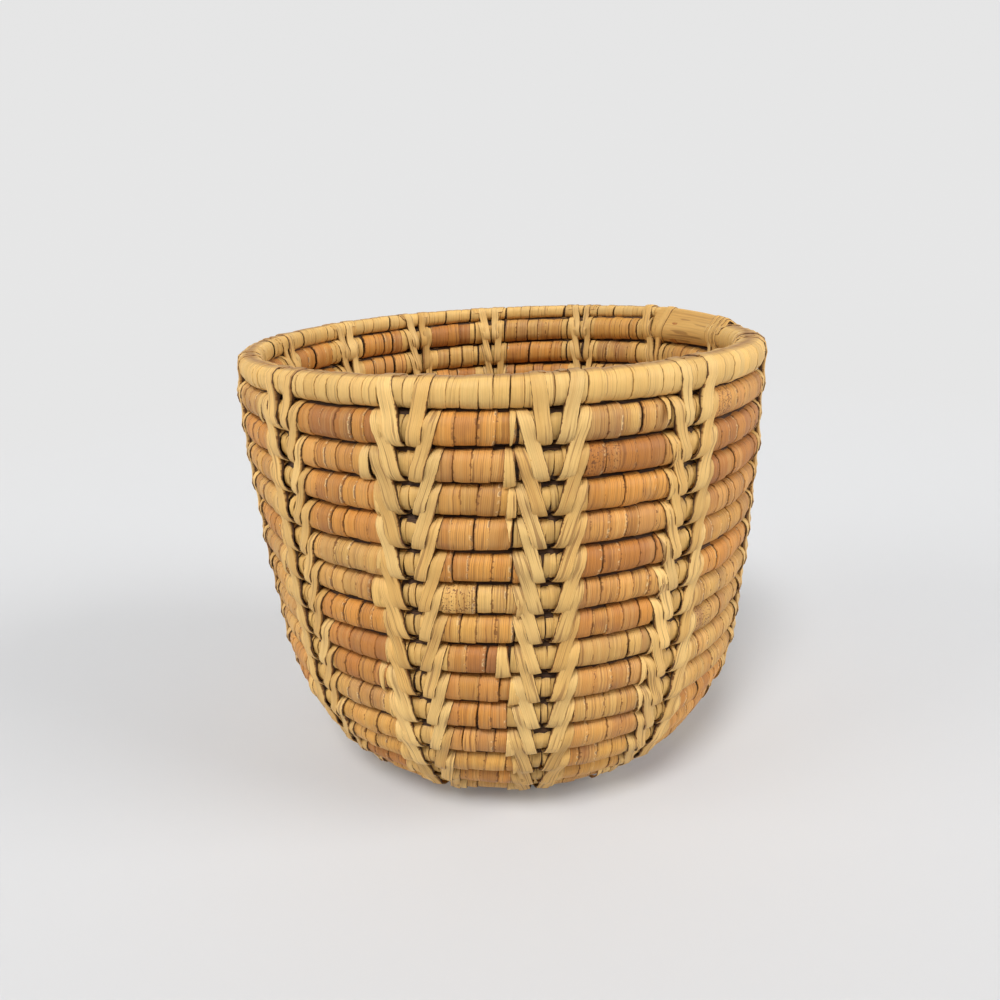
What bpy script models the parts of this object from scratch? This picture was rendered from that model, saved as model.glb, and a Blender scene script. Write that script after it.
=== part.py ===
"""Coiled basket, in metres, +Z up: one coil wound from the middle of the base to the rim, and its stitches.

The origin is under the middle of the base, and the basket stands on z = 0. An azimuth is measured from -Y,
the front, towards +X. The coil is followed from its tapered tip on the rim, down the wall, to the middle of
the base.
"""

import math
from collections import namedtuple

import bmesh
import bpy
import numpy as np
from mathutils import Vector

# The coil: a bundle of grass wrapped in strips, drawn with six sides
COIL_DIAMETER = 0.0114
ROW_GAP = 0.0013
COIL_STEPS = 24
COIL_START_RADIUS = 0.0068
FLAT_SHARE = 0.1
COIL_COLOUR = (0.60, 0.32, 0.12)
COIL_ROUGHNESS = 0.6

# The wall's outline, followed from the rim: an almost straight wall, a wide heel, a tighter foot, the base
RIM_RADIUS = 0.096
RIM_LEAN = math.radians(1)
WALL_LEAN = math.radians(6)
WALL_LENGTH = 0.111
HEEL_RADIUS = 0.064
HEEL_LEAN = math.radians(40)
FOOT_RADIUS = 0.040
BASE_RISE = math.radians(3)
OUTLINE_STEP = 0.0001
ROWS_ABOVE_RIM = 2

# The rim's tapered end, in turns from the tip, with the coil's share of its full thickness
TIP_AZIMUTH = 97
TIP_SHARE = 0.12
TIP_TURNS = 0.092
SHOULDER_SHARE = 0.436
TAPER_TURNS = 0.857

# Columns of V stitches. A height on the wall is counted in rows down from the rim's top
COLUMN_AZIMUTHS = (9.3, 37.8, 75, 100.8, 127.8, 154, 183, 206.4, 231.3, 257.5, 287, 315, 343.5)
COLUMN_SLANT = -0.35
STITCH_ROWS = 13
V_ROWS = 2
HALF_ROW = 0.5
RIM_TOP = -0.15
RIM_SHOULDER = 0.1
STITCH_CLEARANCE = 0.0004
STRIP_WIDTH = 0.0034
STRIP_THICKNESS = 0.0006
TUCKED_WIDTH = 0.0014
TUCK_HEIGHT = 0.0011
V_SPREAD = 0.0093
V_FOOT = 0.0013
RIM_V_SPREAD = 0.0065
RIM_WRAP_OFFSET = 0.0109
THINNEST_STITCHED_SHARE = 0.45
STRIP_COLOUR = (0.76, 0.54, 0.26)
STRIP_ROUGHNESS = 0.55

# The strip that binds the tapered end along the inside of the rim, in degrees past the tip
END_STRIP_START = 3
END_STRIP_LENGTH = 30
END_STRIP_STEPS = 5

COIL_RADIUS = COIL_DIAMETER / 2
CORNER = math.radians(60)
FLAT_SIDE = COIL_RADIUS * math.cos(CORNER / 2)
ROW_PITCH = 2 * FLAT_SIDE + ROW_GAP
FLAT_DEPTH = COIL_DIAMETER * FLAT_SHARE
FULL_TURN = 360
QUARTER_TURN = math.radians(90)
GROUND_SIDE = 4 * RIM_RADIUS
WELD_DISTANCE = 0.00001

Place = namedtuple("Place", "centre out up share radius")
Outline = namedtuple("Outline", "distance radius height lean")
Point = namedtuple("Point", "across down row tucked angle width")


def clear_scene():
    for item in list(bpy.data.objects):
        bpy.data.objects.remove(item, do_unlink=True)


def collection(name):
    made = bpy.data.collections.new(name)
    bpy.context.scene.collection.children.link(made)
    return made


def material(name, colour, roughness):
    made = bpy.data.materials.new(name)
    made.use_nodes = True
    shader = made.node_tree.nodes["Principled BSDF"]
    shader.inputs["Base Color"].default_value = (*colour, 1)
    shader.inputs["Roughness"].default_value = roughness
    shader.inputs["Metallic"].default_value = 0
    return made


def wall_outline():
    """The coil's middle line in section: its radius, height and lean at each distance down from the rim."""
    heel_end = WALL_LENGTH + HEEL_RADIUS * (HEEL_LEAN - WALL_LEAN)
    flat = QUARTER_TURN + BASE_RISE
    foot_end = heel_end + FOOT_RADIUS * (flat - HEEL_LEAN)
    distance = np.arange(-ROWS_ABOVE_RIM * ROW_PITCH, foot_end + RIM_RADIUS, OUTLINE_STEP)
    lean = np.interp(
        distance,
        (0, WALL_LENGTH, heel_end, foot_end),
        (RIM_LEAN, WALL_LEAN, HEEL_LEAN, flat),
    )
    over_rim = distance < 0
    inward = np.cumsum(np.sin(lean)) - np.sum(np.sin(lean[over_rim]))
    downward = np.cumsum(np.cos(lean)) - np.sum(np.cos(lean[over_rim]))
    radius = RIM_RADIUS - inward * OUTLINE_STEP
    height = -downward * OUTLINE_STEP
    inside = radius >= COIL_START_RADIUS
    height -= height[inside].min() - COIL_RADIUS + FLAT_DEPTH
    return Outline(distance[inside], radius[inside], height[inside], lean[inside])


def share_at(turns):
    """The coil's share of its full thickness, so many turns from the tip."""
    return np.interp(turns, (0, TIP_TURNS, TAPER_TURNS), (TIP_SHARE, SHOULDER_SHARE, 1))


def distance_at(turns):
    """How far down the wall the coil lies: rows a pitch apart, and nearer where the end thins."""
    turns_to_front = 1 - TIP_AZIMUTH / FULL_TURN
    return ROW_PITCH * (turns - turns_to_front + (1 - share_at(turns)) / 2)


class Coil:
    """The coil's points, and the place of any turn between them."""

    def __init__(self, outline):
        last = outline.distance[-1] / ROW_PITCH + 1 - TIP_AZIMUTH / FULL_TURN
        self.turns = np.arange(0, last, 1 / COIL_STEPS)
        azimuth = np.radians(TIP_AZIMUTH + FULL_TURN * self.turns)
        distance = distance_at(self.turns)
        self.share = share_at(self.turns)
        self.lean = np.interp(distance, outline.distance, outline.lean)
        self.radius = np.interp(distance, outline.distance, outline.radius)
        height = np.interp(distance, outline.distance, outline.height)
        outward = np.stack([np.sin(azimuth), -np.cos(azimuth), np.zeros_like(azimuth)], axis=1)
        upward = np.array([0, 0, 1])
        lean = self.lean[:, None]
        self.centre = outward * self.radius[:, None] + upward * height[:, None]
        self.out = outward * np.cos(lean) - upward * np.sin(lean)
        self.up = outward * np.sin(lean) + upward * np.cos(lean)

    def at(self, turn):
        """The place at a turn, on the straight stretch between the coil's own two points."""
        values = [
            np.array([np.interp(turn, self.turns, line[:, axis]) for axis in range(3)])
            for line in (self.centre, self.out, self.up)
        ]
        return Place(
            *values,
            np.interp(turn, self.turns, self.share),
            np.interp(turn, self.turns, self.radius),
        )


def coil_curve(coil):
    """The coil as one tube. Its tilt turns a corner of the six sides to face straight out of the wall."""
    curve = bpy.data.curves.new("coil_path", "CURVE")
    curve.dimensions = "3D"
    curve.twist_mode = "Z_UP"
    curve.bevel_depth = COIL_RADIUS
    curve.bevel_resolution = 1
    curve.use_fill_caps = True
    spline = curve.splines.new("POLY")
    spline.points.add(len(coil.turns) - 1)
    for point, centre, share, lean in zip(spline.points, coil.centre, coil.share, coil.lean):
        point.co = (*centre, 1)
        point.radius = share
        point.tilt = lean
    spline.use_smooth = False
    return bpy.data.objects.new("coil_path", curve)


def mesh_of_curve(item, name, target):
    """A mesh object made from a curve, with its caps joined on, in place of the curve."""
    target.objects.link(item)
    evaluated = item.evaluated_get(bpy.context.evaluated_depsgraph_get())
    mesh = bpy.data.meshes.new_from_object(evaluated)
    made = bpy.data.objects.new(name, mesh)
    made.matrix_world = item.matrix_world
    target.objects.link(made)
    bpy.data.objects.remove(item, do_unlink=True)
    shape = bmesh.new()
    shape.from_mesh(mesh)
    bmesh.ops.remove_doubles(shape, verts=shape.verts, dist=WELD_DISTANCE)
    bmesh.ops.recalc_face_normals(shape, faces=shape.faces)
    shape.to_mesh(mesh)
    shape.free()
    return made


def least_gap(mesh, coil):
    """The least distance between points of the coil's surface that lie on different rows."""
    points = np.array([tuple(vertex.co) for vertex in mesh.vertices])
    nearest = np.array([np.argmin(np.sum((coil.centre - point) ** 2, axis=1)) for point in points])
    least = math.inf
    for point, step in zip(points, nearest):
        other_row = np.abs(nearest - step) > COIL_STEPS // 2
        least = min(least, np.sqrt(np.sum((points[other_row] - point) ** 2, axis=1)).min())
    return least


def cut_flat(item, cutters):
    """Cuts the underside flat at z = 0, where the basket stands."""
    bpy.ops.mesh.primitive_cube_add(size=GROUND_SIDE, location=(0, 0, -GROUND_SIDE / 2))
    ground = bpy.context.object
    ground.name = "ground_cutter"
    for holder in list(ground.users_collection):
        holder.objects.unlink(ground)
    cutters.objects.link(ground)
    ground.hide_render = True
    ground.display_type = "WIRE"
    cut = item.modifiers.new("flat underside", "BOOLEAN")
    cut.operation = "DIFFERENCE"
    cut.solver = "EXACT"
    cut.object = ground


def make_coil(coil, parts, cutters, finish):
    made = mesh_of_curve(coil_curve(coil), "wrapped_coil", parts)
    made.data.materials.append(finish)
    gap = least_gap(made.data, coil) * 1000
    print(f"coil: {coil.turns[-1]:.1f} turns, least gap to itself {gap:.2f} mm")
    cut_flat(made, cutters)
    return made


def loft(name, sections, parts, finish):
    """A closed skin through sections that all have the same number of corners."""
    shape = bmesh.new()
    rings = [[shape.verts.new(corner) for corner in section] for section in sections]
    for ring, following in zip(rings, rings[1:]):
        for corner in range(len(ring)):
            beside = (corner + 1) % len(ring)
            shape.faces.new((ring[corner], ring[beside], following[beside], following[corner]))
    shape.faces.new(rings[0])
    shape.faces.new(rings[-1])
    bmesh.ops.recalc_face_normals(shape, faces=shape.faces)
    mesh = bpy.data.meshes.new(name)
    shape.to_mesh(mesh)
    shape.free()
    mesh.materials.append(finish)
    made = bpy.data.objects.new(name, mesh)
    parts.objects.link(made)
    return made


class Column:
    """One column of V stitches, as the strip that runs through all of its legs."""

    def __init__(self, coil, azimuth):
        self.coil = coil
        self.turn = (azimuth - TIP_AZIMUTH) % FULL_TURN / FULL_TURN
        self.under_tip = share_at(self.turn) < THINNEST_STITCHED_SHARE
        if self.under_tip:
            self.turn += 1

    def leg_across(self, row, down, side):
        """How far a leg of the V that starts at the top of a row lies from the column's middle."""
        spread = RIM_V_SPREAD if row == 0 else V_SPREAD
        return side * (spread + (V_FOOT - spread) * (down - row) / V_ROWS)

    def crest(self, across, row):
        return Point(across, row + HALF_ROW, row, False, 0, STRIP_WIDTH)

    def tuck(self, across, row):
        """A point in the groove above a row."""
        return Point(across, row, row, True, 0, TUCKED_WIDTH)

    def over_rim(self, across):
        """Up over the top row, or into the groove above it where the coil's tip lies on it."""
        width = TUCKED_WIDTH if self.under_tip else STRIP_WIDTH
        shoulder = Point(across, RIM_SHOULDER, 0, False, CORNER, width)
        if self.under_tip:
            return [shoulder]
        return [Point(across, RIM_TOP, 0, False, QUARTER_TURN, STRIP_WIDTH), shoulder]

    def leg(self, row, side):
        if row == 0:
            start = self.over_rim(self.leg_across(0, 0, side))
        else:
            start = [self.tuck(self.leg_across(row, row, side), row)]
        return start + [
            self.crest(self.leg_across(row, row + HALF_ROW, side), row),
            self.crest(self.leg_across(row, row + 1 + HALF_ROW, side), row + 1),
            self.tuck(self.leg_across(row, row + V_ROWS, side), row + V_ROWS),
        ]

    def run(self, first, side):
        """Every second leg on one side, from the top down, tucked under the legs between them."""
        return [point for row in range(first, STITCH_ROWS, V_ROWS) for point in self.leg(row, side)]

    def path(self):
        even = self.run(0, -1) + self.run(0, 1)[::-1]
        wrap = self.over_rim(RIM_WRAP_OFFSET) + [self.crest(RIM_WRAP_OFFSET, 0)]
        return even + wrap + self.run(1, 1) + self.run(1, -1)[::-1]

    def place(self, point, across, down, lift):
        """A corner of the strip, moved across and down the wall from the path, and lifted off the coil."""
        level = self.turn + point.row + COLUMN_SLANT * point.down / FULL_TURN
        turn = level + (point.across + across) / (2 * math.pi * self.coil.at(level).radius)
        spot = self.coil.at(turn)
        if point.tucked:
            above = self.coil.at(turn - 1)
            spot = Place(*((here + there) / 2 for here, there in zip(spot, above)))
            height = COIL_RADIUS / 2 + TUCK_HEIGHT
        else:
            corner = FLAT_SIDE if point.angle == QUARTER_TURN else COIL_RADIUS
            height = corner * spot.share + STITCH_CLEARANCE
        out = spot.out * math.cos(point.angle) + spot.up * math.sin(point.angle)
        along = spot.out * math.sin(point.angle) - spot.up * math.cos(point.angle)
        return Vector(spot.centre + out * (height + lift) + along * down)

    def sections(self):
        path = self.path()
        flat = [Vector((point.across, point.down * ROW_PITCH)) for point in path]
        ways = [(after - before).normalized() for before, after in zip(flat, flat[1:])]
        ways = [ways[0]] + ways + [ways[-1]]
        found = []
        for point, before, after in zip(path, ways, ways[1:]):
            left = Vector((before.y, -before.x))
            right = Vector((after.y, -after.x))
            mitre = (left + right) / (1 + left.dot(right)) * point.width / 2
            found.append([
                self.place(point, side * mitre.x, side * mitre.y, lift)
                for side, lift in ((-1, 0), (1, 0), (1, STRIP_THICKNESS), (-1, STRIP_THICKNESS))
            ])
        return found


def make_end_strip(coil, parts, finish):
    """The wide strip laid along the tapered end, from its top down the inner side of the row below."""
    corners = (
        (0, QUARTER_TURN, FLAT_SIDE),
        (0, 2 * CORNER, COIL_RADIUS),
        (0, 3 * CORNER, COIL_RADIUS),
        (1, 2 * CORNER, COIL_RADIUS),
        (1, 3 * CORNER, COIL_RADIUS),
    )
    sections = []
    for step in range(END_STRIP_STEPS + 1):
        turn = (END_STRIP_START + END_STRIP_LENGTH * step / END_STRIP_STEPS) / FULL_TURN
        faces = []
        for lift in (STITCH_CLEARANCE, STITCH_CLEARANCE + STRIP_THICKNESS):
            face = []
            for row, angle, size in corners:
                spot = coil.at(turn + row)
                out = spot.out * math.cos(angle) + spot.up * math.sin(angle)
                face.append(Vector(spot.centre + out * (size * spot.share + lift)))
            faces.append(face)
        sections.append(faces[0] + faces[1][::-1])
    return loft("rim_end_strip", sections, parts, finish)


def main():
    clear_scene()
    parts = collection("coiled_basket")
    cutters = collection("cutters")
    wrapped = material("wrapped_palm", COIL_COLOUR, COIL_ROUGHNESS)
    pale = material("pale_palm", STRIP_COLOUR, STRIP_ROUGHNESS)
    coil = Coil(wall_outline())
    make_coil(coil, parts, cutters, wrapped)
    for number, azimuth in enumerate(COLUMN_AZIMUTHS, start=1):
        loft(f"stitch_column_{number:02d}", Column(coil, azimuth).sections(), parts, pale)
    make_end_strip(coil, parts, pale)


main()
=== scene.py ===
"""A coiled basket: a bundle of grass wound from the base to the rim, wrapped and stitched with split palm.

Metres, +Z up. The coil is followed from its tapered tip on the rim, down the wall, to the middle of the base,
and places on it are given in turns from the tip. An azimuth is measured from -Y, the front, towards +X.
"""

import math
from collections import namedtuple

import bpy
import numpy as np
from mathutils import Matrix, Vector


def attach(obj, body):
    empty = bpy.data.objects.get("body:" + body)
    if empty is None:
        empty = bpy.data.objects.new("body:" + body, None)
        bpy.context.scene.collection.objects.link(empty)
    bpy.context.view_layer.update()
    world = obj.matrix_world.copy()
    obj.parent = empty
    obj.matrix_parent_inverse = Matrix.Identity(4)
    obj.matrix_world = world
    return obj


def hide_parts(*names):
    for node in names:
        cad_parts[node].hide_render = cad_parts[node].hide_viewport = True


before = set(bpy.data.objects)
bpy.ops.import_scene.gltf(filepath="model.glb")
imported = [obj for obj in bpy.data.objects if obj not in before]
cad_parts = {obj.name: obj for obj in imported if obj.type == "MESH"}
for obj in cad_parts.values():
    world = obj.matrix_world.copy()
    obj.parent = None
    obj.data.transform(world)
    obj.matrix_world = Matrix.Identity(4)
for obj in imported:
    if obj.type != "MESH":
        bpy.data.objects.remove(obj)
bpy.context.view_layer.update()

SEED = 11
FULL_TURN = 360
BODY = "root"

# The coil and the wall's outline, as in the solids
COIL_RADIUS = 0.0057
ROW_PITCH = 0.011173
RIM_RADIUS = 0.096
RIM_LEAN = math.radians(1)
WALL_LEAN = math.radians(6)
WALL_LENGTH = 0.111
HEEL_RADIUS = 0.064
HEEL_LEAN = math.radians(40)
FOOT_RADIUS = 0.040
BASE_LEAN = math.radians(93)
COIL_START_RADIUS = 0.0068
FLAT_DEPTH = 0.00114
OUTLINE_STEP = 0.0001
PATH_STEPS = 144
ROWS_ABOVE_RIM = 2
TIP_AZIMUTH = 97
TIP_SHARE = 0.12
TIP_TURNS = 0.092
SHOULDER_SHARE = 0.436
TAPER_TURNS = 0.857
TURNS_TO_FRONT = 1 - TIP_AZIMUTH / FULL_TURN
RIM_TURNS = 1.02

# What the solids don't have: the coil's thin start, curled into the middle of the base, and its uneven drift
START_TURNS = 1.0
START_SHARE = 0.38
SWAY = 0.00022
SWAY_PACES = (17, 41, 73)

# The grass bundle, whose top is sunk where no row lies over it
BUNDLE_HALF_DEPTH = 0.0042
BUNDLE_HALF_HEIGHT = 0.0059
BUNDLE_SUNK = 0.0010
BUNDLE_SIDES = 12
BUNDLE_STEPS = 1230
OPEN_TURNS = 1.1

# Strips of split palm: a strip's section is flat, with a narrow bevel at each edge
STRIP_THICKNESS = 0.00042
SECTION = ((-1, 0), (-0.9, 0.82), (0, 1), (0.9, 0.82), (1, 0))
WRAP_HALF_DEPTH = 0.0053
WRAP_HALF_HEIGHT = 0.00503
WRAP_LAY = 0.5
WRAP_STEPS = 14
TYPICAL_HALF_WIDTH = 0.0018
FIRST_ANGLE = 1.5 * math.pi
LAST_ANGLE = -0.5 * math.pi
SQUARENESS = 0.78
FLOOR_SOFTNESS = 0.0008
SHARP = math.radians(42)

# Columns of V stitches: all of them on the wall, from the first row that isn't thin, and fewer on the base
COLUMN_AZIMUTHS = (9.3, 37.8, 75, 100.8, 127.8, 154, 183, 206.4, 231.3, 257.5, 287, 315, 343.5)
COLUMN_SLANT = -0.35
COLUMN_STEP = 1 + COLUMN_SLANT / FULL_TURN
COLUMN_ROWS = 13
ALL_COLUMNS_RADIUS = 0.047
HALF_COLUMNS_RADIUS = 0.026
EVERY_FOURTH = 4
THIN_SHARE = 0.45
V_SPREAD = 0.0092
V_SHARE = 0.21
V_FOOT = 0.0027
RIM_V_SPREAD = 0.0062
INNER_SHARE = 0.56
INNER_WIDTH = 0.8

# A leg of a V: it sags between its two rows, is thicker underneath there, and lies over the leg below
LEG_WIDTH = 0.0046
LEG_LENGTH = 3.6 * ROW_PITCH
LEG_THICKNESS = STRIP_THICKNESS + 0.00016
LEG_STEPS = 15
LEG_START_TAPER = 0.45
LEG_END_ANGLE = math.radians(100)
LEG_DIP = 0.0006
LEG_BACKING = 0.0013
LEG_OVERLAP = 0.00032
OUTER_EDGE_LIFT = 0.9

# Near the floor the legs stand off less: by this share on it, and in full above the range
PRESSED_SHARE = 0.35
PRESSED_FROM = 0.002
PRESSED_RANGE = 0.012

# The coil's thin end: its flat strip and bindings in turns from the tip, and its angles in degrees
END_STRIP = (-0.003, 0.088)
END_BINDINGS = (0.004, 0.0105, 0.0165)
END_COLUMN_AZIMUTH = COLUMN_AZIMUTHS[4]
END_ANGLES = (-88, 268)
END_STEPS = 60
END_MARGIN = 0.03
END_SECTIONS = 80
END_UNDERSIDE = -0.0001
RIM_LENGTH = math.tau * RIM_RADIUS

# The wraps begin a little under the flat strip, in turns, and end just before the coil's start, in metres
FIRST_WRAP = END_STRIP[1] - 0.006
LAST_WRAP_ROOM = 0.004

# The flat strip's share of the way round the coil, its width and its thickness
FLAT_STRIP_ARC = (0.28, 0.92)
FLAT_STRIP_WIDTH = 0.012
FLAT_STRIP_THICKNESS = 0.0005
FLAT_STRIP_STEPS = 36

# The bindings, and the legs of the first V, over the thin end
BINDING_WIDTHS = (0.0024, 0.0032)
BINDING_LENGTH = 0.045
BINDING_SLANT = 0.0008
BINDING_RISE = 0.0004
END_V_FOOT = 0.0024
END_V_SPREAD = 0.0042
END_V_RISE = 0.0005

# Colours of the palm, as it dries and as it is stained
STRAW = (0.72, 0.44, 0.132)
PALE_STRAW = (0.79, 0.52, 0.188)
TAN = (0.63, 0.365, 0.103)
HONEY = (0.64, 0.33, 0.072)
SALMON = (0.64, 0.31, 0.076)
ORANGE = (0.63, 0.27, 0.047)
RUST = (0.48, 0.185, 0.034)
PLUM = (0.32, 0.13, 0.05)

# Colours of its marks and of the grass: dark grain and dirt, also used as painted shade, a painted edge
# shadow, torn fibres, and grass darkened as painted shade
DIRT_AND_SHADE = (0.17, 0.06, 0.016)
# Painted shadow at the very edge of a leg, where it meets the strips under it
EDGE_SHADOW = (0.03, 0.012, 0.005)
TORN_FIBRE = (0.86, 0.62, 0.30)
# The grass, much darker than dry grass, as painted shade of the coil's inside
DEEP_FIBRE_SHADE = (0.020, 0.008, 0.003)
GRASS_IN_SHADE = (0.13, 0.058, 0.020)

# Stains of the rows between the two front columns, from the rim down, of other segments, and mixed into both
# Rows 8 and 9 are rust, a stain that also paints shade on the lower front wall
FRONT_STAINS = (
    ORANGE, SALMON, HONEY, SALMON, ORANGE, STRAW, HONEY, RUST, RUST, ORANGE, SALMON, HONEY, ORANGE,
)
SPECKLED_ROW = 6
SEGMENT_STAINS = (ORANGE, SALMON, HONEY, ORANGE, TAN, HONEY, ORANGE, RUST, TAN, SALMON, TAN)
SECOND_STAINS = (RUST, HONEY, PLUM, SALMON)

# How far from a column's middle its strips are pale, where its middle ones end and its outer ones start
COLUMN_REACH = 0.0096
REACH_CHANGE = 0.0014
MIDDLE_REACH = 0.0042
FLANK_START = 0.0075

# Chances of a speckled segment, and after a stained one of a frayed end, of one that spreads, and of a gap
SPECKLED_CHANCE = 0.04
FRAY_CHANCE = 0.7
SPREADING_CHANCE = 0.5
GAP_CHANCE = 0.35

# The floor, its backdrop and the lamps: name, place, spread in degrees and strength
FLOOR_FRONT = -5
FLOOR_BACK = 1.6
FLOOR_HALF_WIDTH = 6
BACKDROP_HEIGHT = 4
FLOOR_COLOUR = (0.60, 0.605, 0.615, 1)
BACKDROP = (0.79, 0.79, 0.79, 1)
STUDIO = (1, 0.995, 0.985, 1)
STUDIO_STRENGTH = 0.18
LAMPS = (
    ("soft_light_above", (-0.22, -0.66, 1.0), 20, 2.27),
    ("soft_light_right", (0.92, -0.30, 0.50), 32, 1.95),
    ("soft_light_left", (-0.95, -0.30, 0.45), 32, 1.0),
)

# The camera's place and target in rim radii from the middle of the rim, its roll, and its lens in millimetres
CAMERA_STAND = (0, -3.5646, 0.4751)
CAMERA_TARGET = (-0.0274, 0, -0.6765)
CAMERA_ROLL = -0.0464
CAMERA_LENS = 30.6
SENSOR_WIDTH = 36

Outline = namedtuple("Outline", "distance radius height lean")
Coil = namedtuple("Coil", "turns centre out up share radius length")
PaleStrips = namedtuple("PaleStrips", "widths gaps chances lift skew other shade")

# Pale strips: on the rim, in the middle of a column, at its sides, and under the legs between these
RIM_STRIPS = PaleStrips(
    widths=(0.0036, 0.0054), gaps=(-0.0002, 0.00002, 0.0001), chances=(0.5, 0.38, 0.12),
    lift=0, skew=0.15, other=PALE_STRAW, shade=1,
)
# The middle strips' shade of 0.9 darkens them as painted shade under the legs
MIDDLE_STRIPS = PaleStrips(
    widths=(0.0020, 0.0036), gaps=(-0.0002, 0.0001, 0.0003, 0.0006), chances=(0.45, 0.3, 0.17, 0.08),
    lift=-0.0008, skew=0.6, other=TAN, shade=0.9,
)
FLANK_STRIPS = PaleStrips(
    widths=(0.0024, 0.0038), gaps=(-0.0003, 0.0002, 0.0006), chances=(0.5, 0.3, 0.2),
    lift=-0.00025, skew=0.3, other=TAN, shade=1,
)
LEG_STRIPS = PaleStrips(
    widths=(0.0026, 0.0042), gaps=(-0.0003, 0.0001, 0.0003), chances=(0.6, 0.28, 0.12),
    lift=0, skew=0.15, other=TAN, shade=1,
)


def wall_outline():
    """The coil's middle line in section: its radius, height and lean at each distance down from the rim."""
    heel_end = WALL_LENGTH + HEEL_RADIUS * (HEEL_LEAN - WALL_LEAN)
    foot_end = heel_end + FOOT_RADIUS * (BASE_LEAN - HEEL_LEAN)
    distance = np.arange(-ROWS_ABOVE_RIM * ROW_PITCH, foot_end + RIM_RADIUS, OUTLINE_STEP)
    lean = np.interp(
        distance,
        (0, WALL_LENGTH, heel_end, foot_end),
        (RIM_LEAN, WALL_LEAN, HEEL_LEAN, BASE_LEAN),
    )
    over_rim = distance < 0
    inward = np.cumsum(np.sin(lean)) - np.sum(np.sin(lean[over_rim]))
    downward = np.cumsum(np.cos(lean)) - np.sum(np.cos(lean[over_rim]))
    radius = RIM_RADIUS - inward * OUTLINE_STEP
    height = -downward * OUTLINE_STEP
    inside = radius >= COIL_START_RADIUS
    height -= height[inside].min() - COIL_RADIUS + FLAT_DEPTH
    return Outline(distance[inside], radius[inside], height[inside], lean[inside])


def share_at(turns):
    """The coil's share of its full thickness, so many turns from the tip."""
    return np.interp(turns, (0, TIP_TURNS, TAPER_TURNS), (TIP_SHARE, SHOULDER_SHARE, 1))


def distance_at(turns):
    """How far down the wall the coil lies: rows a pitch apart, and nearer where the end thins."""
    return ROW_PITCH * (turns - TURNS_TO_FRONT + (1 - share_at(turns)) / 2)


def sway(turns, phase):
    """A slow, uneven drift of the coil, as a hand-wound one has."""
    waves = sum(np.sin(turns * pace + phase * pace) / count for count, pace in enumerate(SWAY_PACES, 1))
    return SWAY * waves


def wound_coil(outline):
    """The coil's path, with its thin start curled into the middle of the base."""
    last = outline.distance[-1] / ROW_PITCH + TURNS_TO_FRONT
    turns = np.arange(0, last + START_TURNS, 1 / PATH_STEPS)
    beyond = np.maximum(turns - last, 0)
    share = share_at(turns) * (1 - (1 - START_SHARE) * beyond / START_TURNS)
    azimuth = np.radians(TIP_AZIMUTH + FULL_TURN * turns)
    distance = distance_at(turns)
    lean = np.interp(distance, outline.distance, outline.lean)[:, None]
    radius = np.interp(distance, outline.distance, outline.radius)
    radius_before = np.interp(distance_at(turns - 1), outline.distance, outline.radius)
    radius = np.where(beyond > 0, radius_before - ROW_PITCH * (1 + share) / 2, radius)
    height = np.interp(distance, outline.distance, outline.height)
    outward = np.stack([np.sin(azimuth), -np.cos(azimuth), np.zeros_like(azimuth)], axis=1)
    upward = np.array([0, 0, 1])
    out = outward * np.cos(lean) - upward * np.sin(lean)
    up = outward * np.sin(lean) + upward * np.cos(lean)
    centre = outward * radius[:, None] + upward * height[:, None]
    centre += out * sway(turns, 1)[:, None] + up * sway(turns, 2)[:, None] / 2
    steps = np.linalg.norm(np.diff(centre, axis=0), axis=1)
    return Coil(turns, centre, out, up, share, radius, np.r_[0, np.cumsum(steps)])


class Value:
    """A socket of a node tree. Arithmetic on it adds Math nodes."""

    def __init__(self, graph, socket):
        self.graph = graph
        self.socket = socket

    def __add__(self, other):
        return self.graph.math("ADD", self, other)

    def __radd__(self, other):
        return self.graph.math("ADD", other, self)

    def __sub__(self, other):
        return self.graph.math("SUBTRACT", self, other)

    def __rsub__(self, other):
        return self.graph.math("SUBTRACT", other, self)

    def __mul__(self, other):
        return self.graph.math("MULTIPLY", self, other)

    def __rmul__(self, other):
        return self.graph.math("MULTIPLY", other, self)

    def __truediv__(self, other):
        return self.graph.math("DIVIDE", self, other)

    def __pow__(self, other):
        return self.graph.math("POWER", self, other)


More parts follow.
